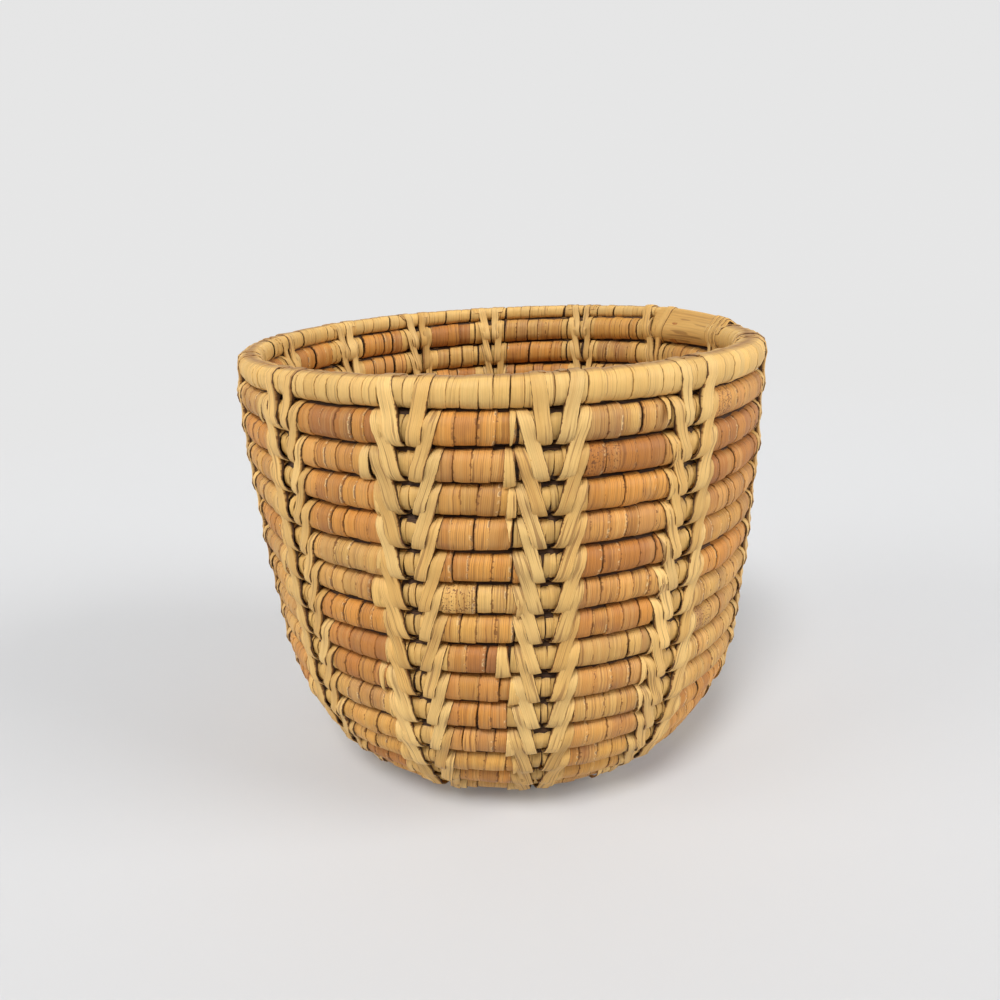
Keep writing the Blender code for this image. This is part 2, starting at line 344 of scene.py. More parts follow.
class Graph:
    """A node tree being made."""

    def __init__(self, tree):
        self.tree = tree

    def node(self, kind, settings, inputs):
        """Adds a node, sets its settings, then the values or links of its sockets."""
        made = self.tree.nodes.new(kind)
        for name, value in settings.items():
            setattr(made, name, value)
        for name, value in inputs.items():
            if isinstance(value, Value):
                self.tree.links.new(value.socket, made.inputs[name])
            else:
                made.inputs[name].default_value = value
        return made

    def value(self, kind, settings, inputs, output=0):
        return Value(self, self.node(kind, settings, inputs).outputs[output])

    def math(self, operation, *values):
        return self.value("ShaderNodeMath", {"operation": operation}, dict(enumerate(values)))

    def clamp(self, value, low=0, high=1):
        return self.math("MAXIMUM", self.math("MINIMUM", value, high), low)

    def above(self, value, level, gain):
        """0 up to a level, and from there to 1, as fast as the gain says."""
        return self.clamp((value - level) * gain)

    def below(self, value, level, gain):
        """0 down to a level, and from there to 1, as fast as the gain says."""
        return self.clamp((level - value) * gain)

    def vector(self, operation, inputs, output="Vector"):
        return self.value("ShaderNodeVectorMath", {"operation": operation}, inputs, output)

    def plus(self, first, second):
        return self.vector("ADD", {0: first, 1: second})

    def scaled(self, vector, factor):
        return self.vector("SCALE", {0: vector, "Scale": factor})

    def combine(self, x, y, z):
        return self.value("ShaderNodeCombineXYZ", {}, {0: x, 1: y, 2: z})

    def split(self, vector):
        made = self.node("ShaderNodeSeparateXYZ", {}, {0: vector})
        return [Value(self, output) for output in made.outputs]

    def mixed(self, factor, first, second):
        """Two vectors mixed."""
        return self.plus(self.scaled(first, 1 - factor), self.scaled(second, factor))

    def mixed_colour(self, factor, first, second):
        return self.value("ShaderNodeMix", {"data_type": "RGBA"}, {0: factor, 6: first, 7: second}, 2)

    def over(self, base, colour, factor):
        """A plain colour laid over the base."""
        return self.mixed_colour(factor, base, (*colour, 1))

    def noise(self, vector, scale, detail=2, roughness=0.5):
        inputs = {"Vector": vector, "Scale": scale, "Detail": detail, "Roughness": roughness}
        return self.value("ShaderNodeTexNoise", {"noise_dimensions": "3D"}, inputs)

    def attribute(self, name, output="Fac"):
        return self.value("ShaderNodeAttribute", {"attribute_name": name}, {}, output)

    def object_place(self):
        return self.value("ShaderNodeTexCoord", {}, {}, "Object")

    def bump(self, height, distance, strength):
        inputs = {"Height": height, "Distance": distance, "Strength": strength}
        return self.value("ShaderNodeBump", {}, inputs)


class GeometryGraph(Graph):
    """A Geometry Nodes tree being made."""

    def __init__(self, name, inputs, outputs):
        super().__init__(bpy.data.node_groups.new(name, "GeometryNodeTree"))
        for direction, sockets in (("INPUT", inputs), ("OUTPUT", outputs)):
            for socket, kind in sockets.items():
                self.tree.interface.new_socket(name=socket, in_out=direction, socket_type="NodeSocket" + kind)
        self.entry = self.node("NodeGroupInput", {}, {})
        self.exit = self.node("NodeGroupOutput", {}, {})

    def given(self, name):
        return Value(self, self.entry.outputs[name])

    def give(self, name, value):
        self.tree.links.new(value.socket, self.exit.inputs[name])

    def named(self, name, kind="FLOAT"):
        return self.value("GeometryNodeInputNamedAttribute", {"data_type": kind}, {"Name": name})

    def stored(self, geometry, name, kind, value):
        settings = {"data_type": kind, "domain": "POINT"}
        inputs = {"Geometry": geometry, "Name": name, "Value": value}
        return self.value("GeometryNodeStoreNamedAttribute", settings, inputs)

    def whole(self, value):
        return self.value("FunctionNodeFloatToInt", {"rounding_mode": "FLOOR"}, {0: value})

    def sample(self, geometry, value, kind, index):
        settings = {"data_type": kind, "domain": "POINT", "clamp": True}
        inputs = {"Geometry": geometry, "Value": value, "Index": index}
        return self.value("GeometryNodeSampleIndex", settings, inputs)


def place_group():
    """A node group that gives the coil's place at a turn, between two points of its path."""
    graph = GeometryGraph(
        "place on the coil",
        {"Path": "Geometry", "Turn": "Float"},
        {"Centre": "Vector", "Out": "Vector", "Up": "Vector", "Share": "Float"},
    )
    path = graph.given("Path")
    step = graph.given("Turn") * PATH_STEPS
    low = graph.whole(step)
    high = graph.whole(step + 1)
    between = step - low
    fields = {
        "Centre": graph.value("GeometryNodeInputPosition", {}, {}),
        "Out": graph.named("out", "FLOAT_VECTOR"),
        "Up": graph.named("up", "FLOAT_VECTOR"),
    }
    for name, field in fields.items():
        first = graph.sample(path, field, "FLOAT_VECTOR", low)
        second = graph.sample(path, field, "FLOAT_VECTOR", high)
        graph.give(name, graph.mixed(between, first, second))
    share = graph.named("share")
    first = graph.sample(path, share, "FLOAT", low)
    second = graph.sample(path, share, "FLOAT", high)
    graph.give("Share", first + (second - first) * between)
    return graph.tree


class CoilGraph(GeometryGraph):
    """A tree that bends a straight shape along the coil, once for each point of its object."""

    def __init__(self, name, place, more_inputs):
        inputs = {"Geometry": "Geometry", "Path": "Object", **more_inputs, "Material": "Material"}
        super().__init__(name, inputs, {"Geometry": "Geometry"})
        self.place = place
        self.path = self.shape_of("Path")

    def shape_of(self, name):
        """The mesh of an object that is given."""
        return self.value("GeometryNodeObjectInfo", {}, {"Object": self.given(name)}, "Geometry")

    def copies(self, shape):
        """The shape, once for each point."""
        points = {"Points": self.given("Geometry"), "Instance": shape}
        instances = self.value("GeometryNodeInstanceOnPoints", {}, points)
        return self.value("GeometryNodeRealizeInstances", {}, {"Geometry": instances})

    def position(self):
        """Where a point is: its X, Y and Z."""
        return self.split(self.value("GeometryNodeInputPosition", {}, {}))

    def at(self, turn):
        """The coil's centre, its outward and upward directions, and its share of its thickness, at a turn."""
        made = self.node("GeometryNodeGroup", {"node_tree": self.place}, {"Path": self.path, "Turn": turn})
        return [Value(self, made.outputs[name]) for name in ("Centre", "Out", "Up", "Share")]

    def spot(self, centre, out, outward, up, upward):
        """A place so far outward and upward from the coil's centre."""
        return self.plus(self.plus(centre, self.scaled(out, outward)), self.scaled(up, upward))

    def settled(self, shapes, position):
        """The finished tree, with the points of its shapes in their places, and its material."""
        moved = self.value("GeometryNodeSetPosition", {}, {"Geometry": shapes, "Position": position})
        inputs = {"Geometry": moved, "Material": self.given("Material")}
        self.give("Geometry", self.value("GeometryNodeSetMaterial", {}, inputs))
        return self.tree


class StripGraph(CoilGraph):
    """A tree that lays strips on the coil, each bent from the straight one given as "Strip"."""

    def __init__(self, name, place, more_sizes):
        sizes = ("Thickness", "Half Depth", "Half Height", *more_sizes)
        super().__init__(name, place, {"Strip": "Object", **dict.fromkeys(sizes, "Float")})
        self.strips = self.copies(self.shape_of("Strip"))
        self.across, self.top, self.along = self.position()
        self.rise = self.given("Thickness") * self.top
        self.seed = self.named("seed")

    def wobble(self, pace, amount, salt):
        """An uneven drift along the strip, between -amount and amount."""
        where = self.combine(self.along * pace, self.seed * 17.3 + salt, self.across * 0.6)
        return (self.noise(where, 1.0, 2) - 0.5) * (2 * amount)

    def squarer(self, value):
        """A cosine or sine, raised a little with its sign kept, so that a strip's way round gets squarer."""
        return self.math("SIGN", value) * self.math("ABSOLUTE", value) ** SQUARENESS

    def reach(self, angle, share, lift):
        """How far outward and upward a strip lies, at an angle round the coil."""
        outward = self.squarer(self.math("COSINE", angle)) * (self.given("Half Depth") * share + lift)
        upward = self.squarer(self.math("SINE", angle)) * (self.given("Half Height") * share + lift)
        return outward, upward

    def laid(self, position, length, width, angle):
        """The finished tree: strips pressed flat where the basket stands, with what their finish needs."""
        grain = self.combine(self.along * length, self.across * width / 2, self.across)
        # How far a point has turned into the groove between rows: the finish paints shade from it
        groove = self.math("ABSOLUTE", self.math("SINE", angle))
        strips = self.stored(self.strips, "grain", "FLOAT_VECTOR", grain)
        strips = self.stored(strips, "groove", "FLOAT", groove)
        x, y, z = self.split(position)
        soft = self.math("SQRT", z * z + FLOOR_SOFTNESS**2)
        return self.settled(strips, self.combine(x, y, (z + soft) / 2))


def winding_tree(place):
    """Strips wound round the coil: up its inside, over its top and down its outside."""
    graph = StripGraph("wrapping strips", place, ("Lay",))
    start = graph.named("start")
    end = graph.named("end")
    wide = end - start
    taper = 1 - graph.named("taper") * graph.along
    side = graph.across / 2 * taper + graph.wobble(pace=6.0, amount=0.07, salt=1.7)
    turn = (start + end) / 2 + wide * side - wide * graph.given("Lay") * (graph.along - 0.5)
    turn = turn + graph.named("skew") * wide * (graph.along - 0.75)
    first = graph.named("first_angle")
    angle = first + (graph.named("last_angle") - first) * graph.along
    lift = graph.rise + graph.named("lift") + graph.named("tilt") * graph.across
    lift = lift + graph.wobble(pace=2.0, amount=0.00014, salt=9.1)
    lift = lift + graph.named("curl") * graph.along * graph.along
    centre, out, up, share = graph.at(turn)
    outward, upward = graph.reach(angle, share, lift)
    spot = graph.spot(centre, out, outward, up, upward)
    return graph.laid(spot, 2 * math.pi * WRAP_HALF_DEPTH, graph.named("width"), angle)


def leg_turn(graph, down, width):
    """Where a leg lies along the coil, so far down from its V's top to its foot."""
    spread = graph.named("spread")
    middle = graph.named("side") * (spread + (graph.named("foot") - spread) * down)
    uneven = 1 + graph.wobble(pace=4.0, amount=0.14, salt=3.3)
    offset = middle + graph.across * graph.named("face") * width / 2 * uneven
    return graph.named("turn") + offset * graph.named("turns_per_metre") + graph.given("Slant") * down * 2


def leg_lift(graph, straight, last, height):
    """How far a leg stands off the coil: least near the floor, and most where it lies over the leg below."""
    outer = graph.across * graph.named("face") * graph.named("side")
    over = straight * (1 - last) * (1 + outer * OUTER_EDGE_LIFT) * graph.given("Overlap")
    lift = graph.rise + graph.named("lift") * graph.math("SINE", graph.along * math.pi) + over
    lift = lift + graph.wobble(pace=2.0, amount=0.00016, salt=5.9) + graph.named("tilt") * graph.across
    return lift * graph.clamp((height - PRESSED_FROM) / PRESSED_RANGE, PRESSED_SHARE)


def stitching_tree(place):
    """The legs of V stitches: over two rows, from the groove over the first to that under the second."""
    graph = StripGraph("stitch legs", place, ("Dip", "Backing", "Overlap", "Slant"))
    first, straight, last = (graph.clamp(graph.along * 3 - part) for part in range(3))
    angle = graph.named("start_angle") * (1 - first) - LEG_END_ANGLE * last
    down = graph.clamp((0.5 + straight - graph.math("SINE", angle) / 2) / 2)
    narrowed = (1 - first) * (1 - first) * LEG_START_TAPER + last * last * graph.named("end_taper")
    width = graph.named("width") * (1 - narrowed)
    turn = leg_turn(graph, down, width)
    centre, out, up, share = graph.at(turn)
    below, out_below, up_below, share_below = graph.at(turn + 1)
    centre = graph.mixed(straight, centre, below)
    out = graph.mixed(straight, out, out_below)
    up = graph.mixed(straight, up, up_below)
    share = share + (share_below - share) * straight
    lift = leg_lift(graph, straight, last, graph.split(centre)[2])
    bridging = graph.math("SINE", straight * math.pi)
    sunken = bridging * (graph.given("Dip") + (1 - graph.top) * graph.given("Backing"))
    outward, upward = graph.reach(angle, share, lift)
    spot = graph.spot(centre, out, (outward - sunken) * graph.named("face"), up, upward)
    return graph.laid(spot, LEG_LENGTH, width, angle)


def bundle_tree(place):
    """The grass bundle under the strips, as tall as the rows are apart, so no light comes between them."""
    sizes = ("Turns", "Length", "Half Depth", "Half Height", "Sunk")
    graph = CoilGraph("grass bundle", place, dict.fromkeys(sizes, "Float"))
    bar = graph.value(
        "GeometryNodeMeshCylinder",
        {"fill_type": "NGON"},
        {"Vertices": BUNDLE_SIDES, "Side Segments": BUNDLE_STEPS, "Radius": 1.0, "Depth": 1.0},
    )
    across, rise, along = graph.position()
    turn = (along + 0.5) * graph.given("Turns")
    centre, out, up, share = graph.at(turn)
    open_above = graph.clamp((OPEN_TURNS - turn) * 100)
    sunken = graph.clamp(rise * 9) * open_above * graph.given("Sunk")
    outward = -1 * across * share * graph.given("Half Depth")
    upward = rise * share * (graph.given("Half Height") - sunken)
    x, y, z = graph.split(graph.spot(centre, out, outward, up, upward))
    grain = graph.combine(along * graph.given("Length"), across, rise)
    bars = graph.stored(graph.copies(bar), "grain", "FLOAT_VECTOR", grain)
    return graph.settled(bars, graph.combine(x, y, graph.math("MAXIMUM", z, FLOOR_SOFTNESS)))


def placed(name, data):
    """A new object in the scene."""
    made = bpy.data.objects.new(name, data)
    bpy.context.scene.collection.objects.link(made)
    return made


def store_attribute(mesh, key, values):
    """Stores a number or a vector for each point of a mesh."""
    values = np.asarray(values, np.float32)
    kind = "FLOAT_VECTOR" if values.ndim == 2 else "FLOAT"
    layer = mesh.attributes.new(key, kind, "POINT")
    layer.data.foreach_set("vector" if values.ndim == 2 else "value", values.ravel())


def points_object(name, attributes):
    """An object with one point at the origin for each row of the attributes."""
    count = len(next(iter(attributes.values())))
    mesh = bpy.data.meshes.new(name)
    mesh.vertices.add(count)
    for key, values in attributes.items():
        store_attribute(mesh, key, values)
    return placed(name, mesh)


def path_object(coil):
    made = points_object("coil_path", {"out": coil.out, "up": coil.up, "share": coil.share})
    made.data.vertices.foreach_set("co", coil.centre.astype(np.float32).ravel())
    made.data.update()
    return made


def sheet_faces(rows, columns):
    """The faces of a closed sheet: an upper and a lower layer of rows by columns, joined round the edge."""
    size = rows * columns
    faces = []
    for row in range(rows - 1):
        for column in range(columns - 1):
            at = row * columns + column
            quad = (at, at + 1, at + columns + 1, at + columns)
            faces.append(quad)
            faces.append(tuple(size + corner for corner in reversed(quad)))
    edge = list(range(columns))
    edge += [row * columns + columns - 1 for row in range(1, rows)]
    edge += [(rows - 1) * columns + column for column in range(columns - 2, -1, -1)]
    edge += [row * columns for row in range(rows - 2, 0, -1)]
    for here, there in zip(edge, edge[1:] + edge[:1]):
        faces.append((there, here, size + here, size + there))
    return faces


def straight_strip(steps):
    """A straight strip from 0 to 1 along Z: X is across it, from -1 to 1, and Y its rise, from 0 to 1."""
    mesh = bpy.data.meshes.new("straight_strip")
    points = [(x, y, step / steps) for step in range(steps + 1) for x, y in SECTION]
    sides = len(SECTION)
    faces = [tuple(range(sides)), tuple(reversed(range(steps * sides, (steps + 1) * sides)))]
    for at in range(0, steps * sides, sides):
        for side in range(sides):
            beside = (side + 1) % sides
            faces.append((at + side, at + sides + side, at + sides + beside, at + beside))
    mesh.from_pydata(points, [], faces)
    return placed("straight_strip", mesh)


def grown(name, source, tree, values):
    """The plain mesh that a tree makes of an object, in place of the object."""
    modifier = source.modifiers.new("grow", "NODES")
    modifier.node_group = tree
    identifiers = {item.name: item.identifier for item in tree.interface.items_tree if item.in_out == "INPUT"}
    for key, value in values.items():
        modifier[identifiers[key]] = value
    evaluated = source.evaluated_get(bpy.context.evaluated_depsgraph_get())
    mesh = bpy.data.meshes.new_from_object(evaluated)
    mesh.name = name
    source.modifiers.remove(modifier)
    bpy.data.objects.remove(source)
    mesh.shade_smooth()
    mesh.set_sharp_from_angle(angle=SHARP)
    return placed(name, mesh)


def shader(name, kind=Graph):
    """A new material, and the graph that its nodes are made with."""
    made = bpy.data.materials.new(name)
    made.use_nodes = True
    made.node_tree.nodes.clear()
    return made, kind(made.node_tree)


def surfaced(graph, inputs):
    """Ends a material's nodes in one surface."""
    shade = graph.value("ShaderNodeBsdfPrincipled", {}, inputs)
    graph.node("ShaderNodeOutputMaterial", {}, {"Surface": shade})


class PalmGraph(Graph):
    """The nodes of split palm, from what each point of a strip has stored."""

    def __init__(self, tree):
        super().__init__(tree)
        self.stain = self.attribute("stain")
        # How much more split a strip is, and how much painted shade its edges get
        self.dirt = self.attribute("dirt")
        self.along, self.across, self.edge = self.split(self.attribute("grain", "Vector"))
        self.offset = self.attribute("seed") * 13.0
        self.where = self.object_place()
        self.fine = self.streaks(30, 1750, 0, 2, 0.7)
        self.band = self.streaks(14, 520, 5, 2)
        self.crack = self.streaks(45, 1150, 9, 1)
        self.nick = self.streaks(700, 300, 3, 2)
        self.ridge = self.math("SINE", self.across * 11000 + self.band * 7 + self.offset)
        self.patch = self.noise(self.where, 80.0, 3)

    def streaks(self, lengthwise, crosswise, salt, detail, roughness=0.5):
        """Noise that changes about so many times in a metre along the strip and across it."""
        place = self.combine(self.along * lengthwise, self.across * crosswise, self.offset + salt)
        return self.noise(place, 1.0, detail, roughness)

    def grained(self, base):
        """Patches of stain, bands and fine dark grain."""
        base = self.over(base, PLUM, self.above(self.patch, 0.54, 6) * self.stain * 0.7)
        base = self.over(base, PALE_STRAW, self.above(self.band, 0.5, 5) * 0.22)
        base = self.over(base, RUST, self.below(self.band, 0.5, 5) * (0.1 + self.stain * 0.3))
        base = self.over(base, DIRT_AND_SHADE, self.below(self.fine, 0.48, 7) * (0.18 + self.stain * 0.36))
        return self.over(base, DIRT_AND_SHADE, self.clamp(self.ridge * 2 - 0.9) * (0.06 + self.stain * 0.32))

    def marked(self, base):
        """Splits, the specks of a speckled strip, and painted shade where a strip goes into a groove between
        rows.
        """
        split = self.below(self.crack, 0.35 + self.dirt * 0.055, 16)
        base = self.over(base, DIRT_AND_SHADE, split * (0.5 + self.stain * 0.2))
        speck = self.above(self.noise(self.where, 1500.0, 1), 0.57, 14)
        base = self.over(base, DIRT_AND_SHADE, speck * self.attribute("specks") * 0.9)
        # Painted shade where the strip turns into the groove between rows
        return self.over(base, DIRT_AND_SHADE, self.above(self.attribute("groove"), 0.86, 7) * 0.75)

    def edged(self, base):
        """Torn fibres along one edge of the most stained strips, worn dark edges on all, and painted shade
        along both edges of legs, frays and end strips, with painted shadow at their very edges.
        """
        torn = self.above(self.nick, 0.49, 9) * self.above(self.edge, 0.62, 9)
        base = self.over(base, TORN_FIBRE, torn * self.clamp(self.stain * 5 - 3.6) * 0.85)
        ragged = self.above(self.nick, 0.5, 8) * (0.03 + self.stain * 0.22) + self.dirt * 0.02
        brink = self.math("ABSOLUTE", self.edge) - 0.93
        # Worn edges on every strip, darkened further as painted shade on the edges of legs, frays and end
        # strips
        edge_wear_and_shade = self.clamp((brink + ragged) * 14)
        base = self.over(base, DIRT_AND_SHADE, edge_wear_and_shade * (0.5 + self.stain * 0.3 + self.dirt * 0.32))
        # Painted shadow at the very edges of legs, frays and end strips, where they meet the strips under
        # them
        return self.over(base, EDGE_SHADOW, self.clamp(brink * 30) * self.dirt * 0.85)


def palm_material():
    """Split palm: fine grain along the strip, splits, stains, a few specks, torn edges, dirt, and painted
    shade in the grooves and along the legs' edges.
    """
    made, graph = shader("split_palm", PalmGraph)
    base = graph.edged(graph.marked(graph.grained(graph.attribute("tone", "Color"))))
    relief = graph.fine * 0.35 + graph.band * 0.5 + graph.crack * 0.5 + graph.nick * 0.12 - graph.ridge * 0.05
    surfaced(graph, {
        "Base Color": base,
        "Roughness": 0.40 + graph.fine * 0.22 + graph.patch * 0.12,
        "Specular IOR Level": 0.35,
        "Normal": graph.bump(relief, distance=0.0004, strength=0.7),
    })
    return made


def bundle_material():
    """Dry grass with its fibres along it, coloured much darker than dry grass as painted shade of the coil's
    inside.
    """
    made, graph = shader("dry_grass_painted_shade")
    along, across, rise = graph.split(graph.attribute("grain", "Vector"))
    fibre = graph.noise(graph.combine(along * 90, across * 14, rise * 14), 1.0, 3, 0.6)
    surfaced(graph, {
        "Base Color": graph.mixed_colour(graph.above(fibre, 0.36, 3), (*DEEP_FIBRE_SHADE, 1), (*GRASS_IN_SHADE, 1)),
        "Roughness": 0.75 + fibre * 0.1,
        "Normal": graph.bump(fibre, distance=0.0006, strength=0.8),
    })
    return made


class Columns:
    """Where the columns of V stitches stand, also on the base, where fewer of them fit."""

    def __init__(self, coil):
        self.coil = coil
        self.turns = []
        for azimuth in COLUMN_AZIMUTHS:
            turn = (azimuth - TIP_AZIMUTH) % FULL_TURN / FULL_TURN
            under_tip = share_at(turn) < THIN_SHARE
            self.turns.append(turn + 1 if under_tip else turn)

    def radius_at(self, turn):
        return np.interp(turn, self.coil.turns, self.coil.radius)

    def every(self, turn):
        """On which columns a V stands: all of them on the wall, every second or fourth one on the base."""
        radius = self.radius_at(turn)
        return 1 if radius > ALL_COLUMNS_RADIUS else 2 if radius > HALF_COLUMNS_RADIUS else EVERY_FOURTH

    def spread_at(self, turn):
        """How far apart a V's legs may start: less where the columns come close to each other."""
        count = len(COLUMN_AZIMUTHS) / self.every(turn)
        return min(V_SPREAD, V_SHARE * math.tau * self.radius_at(turn) / count)

    def offset(self, turn):
        """How far a place is along the coil from the nearest column, in metres."""
        found = []
        for start in self.turns[::self.every(turn)]:
            away = turn - start - round(turn - start) * COLUMN_STEP
            found.append(away * math.tau * self.radius_at(turn))
        return min(found, key=abs)


def shaded(rng, colour, other, most):
    """A strip's own colour: part of the way to another, and a little lighter or darker."""
    mixed = np.array(colour) + (np.array(other) - np.array(colour)) * rng.uniform(0, most)
    return np.clip(mixed * rng.normal(1, 0.06), 0.01, 0.95)


def loose_part(rng, **changes):
    """What every strip has, unless it is changed."""
    part = {
        "lift": rng.normal(0, 0.00006),
        "tilt": rng.normal(0.00004, 0.00005),
        "taper": 0,
        "skew": rng.normal(0, 0.12),
        "first_angle": FIRST_ANGLE,
        "last_angle": LAST_ANGLE,
        "seed": rng.random() * 10,
        "curl": 0,
        "specks": 0,
        "dirt": 0,
    }
    part.update(changes)
    return part


class Winding:
    """The strips wound round the coil, laid one after another from the tip to the middle of the base."""

    def __init__(self, coil, columns, rng):
        self.coil = coil
        self.columns = columns
        self.rng = rng
        self.strips = []
        self.base = ORANGE
        self.speckled = False

    def turn_at(self, length):
        return float(np.interp(length, self.coil.length, self.coil.turns))

    def lay(self, at, width, **changes):
        start = self.turn_at(at)
        part = loose_part(self.rng, start=start, end=self.turn_at(at + width), width=width, **changes)
        self.strips.append(part)

    def pale_kind(self, rim, offset):
        """The kind of pale strip on the rim, or so far from the nearest column."""
        if rim:
            return RIM_STRIPS
        if abs(offset) < MIDDLE_REACH:
            return MIDDLE_STRIPS
        return FLANK_STRIPS if abs(offset) > FLANK_START else LEG_STRIPS

    def lay_pale(self, at, rim, offset):
        """A straw-coloured strip, on the rim or in a column. Where no V lies over it, it isn't sunken."""
        rng = self.rng
        kind = self.pale_kind(rim, offset)
        bare = kind is MIDDLE_STRIPS and self.columns.every(self.turn_at(at)) == EVERY_FOURTH
        width = rng.uniform(*kind.widths)
        gap = rng.choice(kind.gaps, p=kind.chances)
        self.lay(
            at + gap, width - gap,
            lift=rng.normal(0 if bare else kind.lift, 0.0001),
            skew=rng.normal(0, kind.skew),
            stain=rng.uniform(0, 0.2),
            # A shade under 1 darkens the strip as painted shade under the legs
            tone=shaded(rng, STRAW, kind.other, 0.6) * kind.shade,
        )
        return width

    def choose_stain(self, turn):
        """The stain of a segment, and whether it is speckled."""
        self.base = SEGMENT_STAINS[self.rng.integers(len(SEGMENT_STAINS))]
        self.speckled = self.rng.random() < SPECKLED_CHANCE
        row = int(turn)
        start = FULL_TURN * (turn - row) + TIP_AZIMUTH
        if 0 < row <= len(FRONT_STAINS) and COLUMN_AZIMUTHS[-1] < start < FULL_TURN:
            self.base = FRONT_STAINS[row - 1]
            self.speckled = row == SPECKLED_ROW

    def lay_coloured(self, at, first):
        """A stained strip. The first one of a segment chooses its stain."""
        rng = self.rng
        if first:
            self.choose_stain(self.turn_at(at))
        width = rng.uniform(0.0042, 0.0068)
        gap = rng.choice((-0.0004, -0.0001, 0.0001, 0.0003), p=(0.5, 0.25, 0.17, 0.08))
        other = SECOND_STAINS[rng.integers(len(SECOND_STAINS))]
        speckled = self.speckled
        self.speckled = speckled and first
        self.lay(
            at + gap, width - gap,
            lift=rng.normal(0, 0.00016),
            stain=rng.uniform(0.35, 1),
            specks=float(speckled),
            tone=shaded(rng, self.base, other, 0.5),
        )
        return width

    def lay_fray(self, at):
        """A short end of pale strip, tapering or spreading, that stands out over a segment's last strip."""
        rng = self.rng
        spreading = rng.random() < SPREADING_CHANCE
        self.lay(
            at - rng.uniform(0.0018, 0.0034), rng.uniform(0.0026, 0.0038) * (0.6 if spreading else 1),
            lift=rng.uniform(0.0001, 0.0003),
            curl=rng.uniform(0.0003, 0.0014),
            tilt=-0.0002,
            taper=rng.uniform(-1.6, -0.9) if spreading else rng.uniform(0.5, 0.95),
            skew=rng.uniform(-0.3, 0.6),
            first_angle=math.radians(95),
            last_angle=rng.uniform(-1.3, -0.7 if spreading else 0.1),
            # Painted shade along the fray's edges, and more splits
            dirt=0.5,
            stain=rng.uniform(0.1, 0.5),
            tone=shaded(rng, PALE_STRAW, STRAW, 1),
        )

    def pale_reach(self, turn):
        """How far from a column's middle its strips are pale: uneven, and less on the base."""
        reach = COLUMN_REACH + REACH_CHANGE * math.sin(math.floor(turn) * 7 + 1) * self.rng.random()
        return reach * (self.columns.spread_at(turn) / V_SPREAD)

    def wind(self):
        """Lays every strip: pale ones on the rim and near the columns, and stained ones between them."""
        at = float(np.interp(FIRST_WRAP, self.coil.turns, self.coil.length))
        coloured = False
        while at < self.coil.length[-1] - LAST_WRAP_ROOM:
            turn = self.turn_at(at)
            offset = self.columns.offset(self.turn_at(at + TYPICAL_HALF_WIDTH))
            rim = turn < RIM_TURNS
            reach = self.pale_reach(turn)
            if rim or abs(offset) < reach:
                if coloured and self.rng.random() < FRAY_CHANCE:
                    self.lay_fray(at)
                if coloured and self.rng.random() < GAP_CHANCE:
                    at += self.rng.uniform(0.0006, 0.0016)
                at += self.lay_pale(at, rim, offset)
                coloured = False
            else:
                at += self.lay_coloured(at, not coloured)
                coloured = True
        return self.strips


def stitch_leg(columns, turn, rim, face, side, rng):
    """A leg of a V: face is 1 outside the wall and -1 inside it, and side -1 or 1."""
    outside = face > 0
    room = columns.spread_at(turn + 1) / V_SPREAD
    spread = (RIM_V_SPREAD if rim else V_SPREAD) * room
    nearness = 1 if outside else INNER_SHARE
    width = LEG_WIDTH * min(1, room + 0.25)
    return loose_part(
        rng,
        turn=turn,
        turns_per_metre=1 / (math.tau * columns.radius_at(turn + 0.5)),
        side=side,
        face=face,
        spread=spread * nearness + rng.normal(0, 0.0004),
        foot=V_FOOT * room * nearness + rng.normal(0, 0.00025),
        width=width * rng.uniform(0.86, 1.08) * (1 if outside else INNER_WIDTH),
        end_taper=0.06 if outside else 0.45,
        start_angle=math.radians(165 if rim and outside else 100),
        lift=rng.uniform(0.00005, 0.00025),
        # Painted shade along the leg's edges, and more splits
        dirt=1,
        stain=rng.uniform(0, 0.25),
        tone=shaded(rng, TAN, PALE_STRAW, 1),
    )


def column_legs(coil, columns, number, rng):
    """The legs of one column's V stitches, outside the wall and, nearer each other, inside it."""
    legs = []
    first = columns.turns[number]
    for row in range(int(coil.turns[-1] - START_TURNS - first - 1.5)):
        turn = first + row * COLUMN_STEP
        if row >= COLUMN_ROWS and number % columns.every(turn + 1):
            break
        for face in (1, -1):
            for side in (-1, 1):
                legs.append(stitch_leg(columns, turn, row == 0, face, side, rng))
    return legs


def outermost(rows, out, up, angle):
    """Where a taut strip touches the rows at an angle round them, and its direction outwards there."""
    outward, upward = math.cos(angle), math.sin(angle)
    direction = out * outward + up * upward
    touches = []
    for centre, depth, height in rows:
        size = math.hypot(depth * outward, height * upward)
        touches.append(centre + out * (depth**2 * outward / size) + up * (height**2 * upward / size))
    return np.r_[max(touches, key=lambda touch: float(touch @ direction)), direction]


def hull_section(coil, turn):
    """Points and directions, evenly spaced round the coil's thin end and the row under it."""
    rows = []
    for at in (max(turn, 0), turn + 1):
        share = float(np.interp(at, coil.turns, coil.share))
        centre, out, up = (
            np.array([np.interp(at, coil.turns, table[:, axis]) for axis in range(3)])
            for table in (coil.centre, coil.out, coil.up)
        )
        depth = (WRAP_HALF_DEPTH + STRIP_THICKNESS) * share
        height = (WRAP_HALF_HEIGHT + STRIP_THICKNESS) * share
        rows.append((centre, depth, height))
    angles = np.radians(np.linspace(*END_ANGLES, END_STEPS))
    found = np.array([outermost(rows, out, up, angle) for angle in angles])
    steps = np.r_[0, np.cumsum(np.linalg.norm(np.diff(found[:, :3], axis=0), axis=1) + 1e-5)]
    even = np.linspace(0, steps[-1], END_STEPS)
    return np.stack([np.interp(even, steps, found[:, axis]) for axis in range(6)], axis=1)


